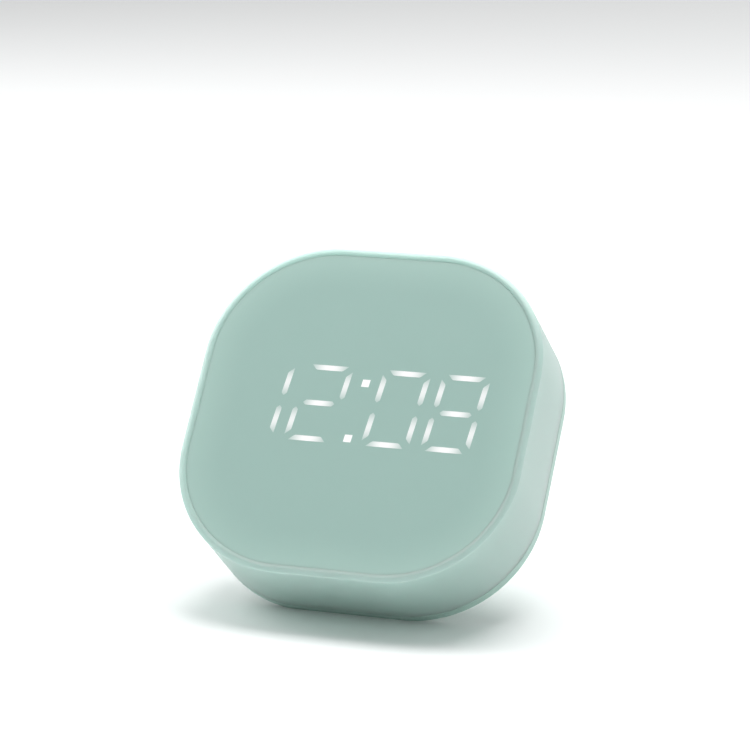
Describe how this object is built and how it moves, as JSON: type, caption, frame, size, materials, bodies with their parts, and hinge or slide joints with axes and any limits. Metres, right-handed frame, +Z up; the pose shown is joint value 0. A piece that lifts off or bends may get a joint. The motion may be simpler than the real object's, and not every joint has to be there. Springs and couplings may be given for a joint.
{
  "type": "alarm clock",
  "caption": "Small rounded-square alarm clock with a lit time display, leaning back on its bottom edge and a fold-out leg, with back buttons, battery door and top snooze key.",
  "frame": {"origin": "middle of the bounding box across and front to back, on the table that the clock stands on", "axes": "+X to the right of someone who reads the time, +Y from the front to the back, +Z up; the clock leans back about X with its leg out"},
  "size_m": [0.08, 0.067, 0.0778],
  "materials": {
    "mint_shell": "satin soft-touch, slightly translucent",
    "mint_cover": "satin soft-touch",
    "face": "satin tinted panel",
    "lit_stroke": "white, lit from behind",
    "white_plastic": "satin",
    "diffuser": "frosted film",
    "reflector": "white moulded",
    "led": "encapsulated chip",
    "board": "solder mask on glass-epoxy",
    "black_plastic": "moulded",
    "rubber_foot": "moulded",
    "steel": "plated",
    "gold": "gold-plated",
    "copper_wire": "insulated lead",
    "can_sleeve": "shrink sleeve",
    "cell_jacket": "plain printed jacket",
    "ribbon": "flat flexible cable",
    "plunger": "moulded"
  },
  "bodies": {
    "clock": {"front_shell": "mint_shell", "face_panel": "face", "lit_segments": "lit_stroke", "unlit_segments": "face", "diffuser_film": "diffuser", "light_block": "reflector", "segment_leds": "led", "display_board": "board", "display_screws": "steel", "display_driver": "black_plastic", "header_strip": "black_plastic", "header_pins": "gold", "main_board": "board", "board_screws": "steel", "clock_chip": "black_plastic", "watch_crystal": "steel", "capacitor": "can_sleeve", "buzzer": "black_plastic", "tact_switches": "steel", "slide_switch": "steel", "usb_socket": "steel", "usb_tongue": "black_plastic", "rear_cover": "mint_cover", "battery_low": "cell_jacket", "battery_middle": "cell_jacket", "battery_high": "cell_jacket", "plate_contacts": "steel", "spring_contacts": "steel", "battery_leads": "copper_wire", "cover_screws": "steel", "hinge_pin": "steel", "snooze_switch": "steel", "snooze_board": "board", "snooze_ribbon": "ribbon"},
    "stand": {"stand_leg": "mint_cover", "foot_pad": "rubber_foot"},
    "door": {"battery_door": "mint_cover"},
    "mode_key": {"mode_button": "white_plastic", "mode_plunger": "plunger"},
    "up_key": {"up_button": "white_plastic", "up_plunger": "plunger"},
    "down_key": {"down_button": "white_plastic", "down_plunger": "plunger"},
    "alarm_slider": {"alarm_knob": "white_plastic"},
    "snooze_key": {"snooze_button": "white_plastic", "snooze_plunger": "plunger"}
  },
  "joints": [
    {"name": "stand_fold", "type": "hinge", "parent": "clock", "child": "stand", "pos_m": [0, 0.00326, 0.02601], "axis": [1, 0, 0], "range_deg": [-58.06, 0]},
    {"name": "door_swing", "type": "hinge", "parent": "clock", "child": "door", "pos_m": [0, 0.02874, 0.05758], "axis": [1, 0, 0], "range_deg": [0, 90]},
    {"name": "mode_press", "type": "slide", "parent": "clock", "child": "mode_key", "axis": [0, -0.7986, 0.6018], "range_m": [0, 0.0006], "stiffness_N_per_m": 250},
    {"name": "up_press", "type": "slide", "parent": "clock", "child": "up_key", "axis": [0, -0.7986, 0.6018], "range_m": [0, 0.0006], "stiffness_N_per_m": 250},
    {"name": "down_press", "type": "slide", "parent": "clock", "child": "down_key", "axis": [0, -0.7986, 0.6018], "range_m": [0, 0.0006], "stiffness_N_per_m": 250},
    {"name": "alarm_slide", "type": "slide", "parent": "clock", "child": "alarm_slider", "axis": [0, 0.6018, 0.7986], "range_m": [0, 0.003]},
    {"name": "snooze_press", "type": "slide", "parent": "clock", "child": "snooze_key", "axis": [0, -0.6018, -0.7986], "range_m": [0, 0.0005], "stiffness_N_per_m": 250}
  ]
}
